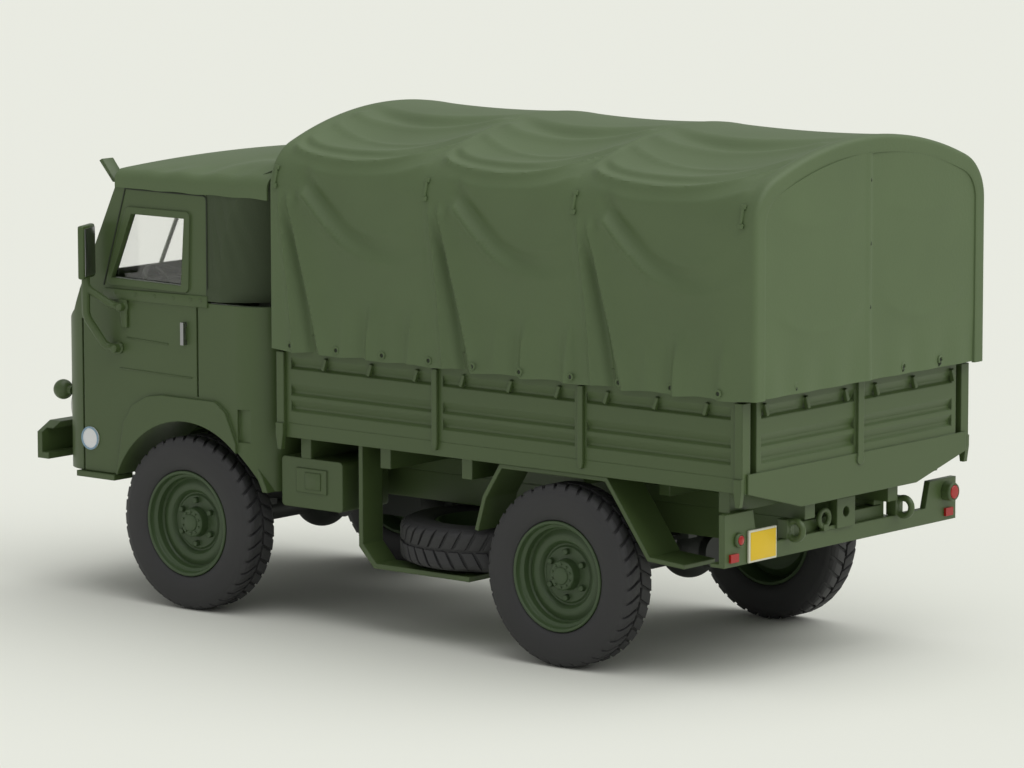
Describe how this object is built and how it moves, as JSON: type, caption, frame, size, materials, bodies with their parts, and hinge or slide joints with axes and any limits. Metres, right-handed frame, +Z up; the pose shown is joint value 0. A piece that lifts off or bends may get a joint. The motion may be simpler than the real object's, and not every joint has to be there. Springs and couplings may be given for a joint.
{
  "type": "scale model military cargo truck",
  "caption": "Small display model of a forward-control four-wheel-drive military cargo truck with a canvas-covered bed, hollow cab, spare wheel and rolling wheels.",
  "frame": {"origin": "on the ground under the middle of the model's box, between the bumper's face and the rear curtain", "axes": "+X forward, +Y to the left side, +Z up"},
  "size_m": [0.1306, 0.0614, 0.0713],
  "materials": {
    "body_green": "satin olive green paint",
    "wheel_green": "satin green paint",
    "canvas_green": "matt green moulded canvas",
    "chassis_black": "matt black moulding",
    "interior_grey": "matt dark grey moulding",
    "tyre": "matt black rubber",
    "steel_pin": "plain steel",
    "clear_plastic": "clear moulding",
    "lamp_clear": "clear lens over bright bowl",
    "lamp_red": "red lens",
    "plate_yellow": "blank yellow plate with a pale edge",
    "sign_white": "blank white disc"
  },
  "bodies": {
    "root": {"axle_housing_front": "chassis_black", "axle_housing_rear": "chassis_black", "bearers": "body_green", "bed_posts": "body_green", "cab_canvas": "canvas_green", "cab_interior": "interior_grey", "cab_shell": "body_green", "cargo_cover": "canvas_green", "chassis_frame": "body_green", "coupling": "body_green", "cross_members": "body_green", "dashboard": "interior_grey", "door_handles": "steel_pin", "dropside_left": "body_green", "dropside_right": "body_green", "engine_and_gearbox": "chassis_black", "front_bumper": "body_green", "fuel_tank": "body_green", "glazing": "clear_plastic", "grille": "body_green", "headboard": "body_green", "header_visor": "body_green", "headlamps": "lamp_clear", "leaf_springs_front": "chassis_black", "leaf_springs_rear": "chassis_black", "marker_lamps": "body_green", "mirror_left": "body_green", "mirror_right": "body_green", "number_plate": "plate_yellow", "platform": "body_green", "propshafts": "chassis_black", "rear_beam": "body_green", "rear_mudguards": "body_green", "reflectors": "lamp_red", "runners": "body_green", "shackles": "body_green", "side_steps": "body_green", "sign_disc": "sign_white", "spare_carrier": "body_green", "spare_rim": "wheel_green", "spare_tyre": "tyre", "steering_wheel": "interior_grey", "tail_lamps": "lamp_red", "tailgate": "body_green", "toolbox": "body_green", "wipers": "body_green"},
    "front_wheelset": {"axle_pin_front": "steel_pin", "rim_front_left": "wheel_green", "rim_front_right": "wheel_green", "tyre_front_left": "tyre", "tyre_front_right": "tyre"},
    "rear_wheelset": {"axle_pin_rear": "steel_pin", "rim_rear_left": "wheel_green", "rim_rear_right": "wheel_green", "tyre_rear_left": "tyre", "tyre_rear_right": "tyre"}
  },
  "joints": [
    {"name": "front_axle_roll", "type": "hinge", "parent": "root", "child": "front_wheelset", "pos_m": [0.0351, 0, 0.01235], "axis": [0, 1, 0], "continuous": true},
    {"name": "rear_axle_roll", "type": "hinge", "parent": "root", "child": "rear_wheelset", "pos_m": [-0.0323, 0, 0.01235], "axis": [0, 1, 0], "continuous": true}
  ]
}
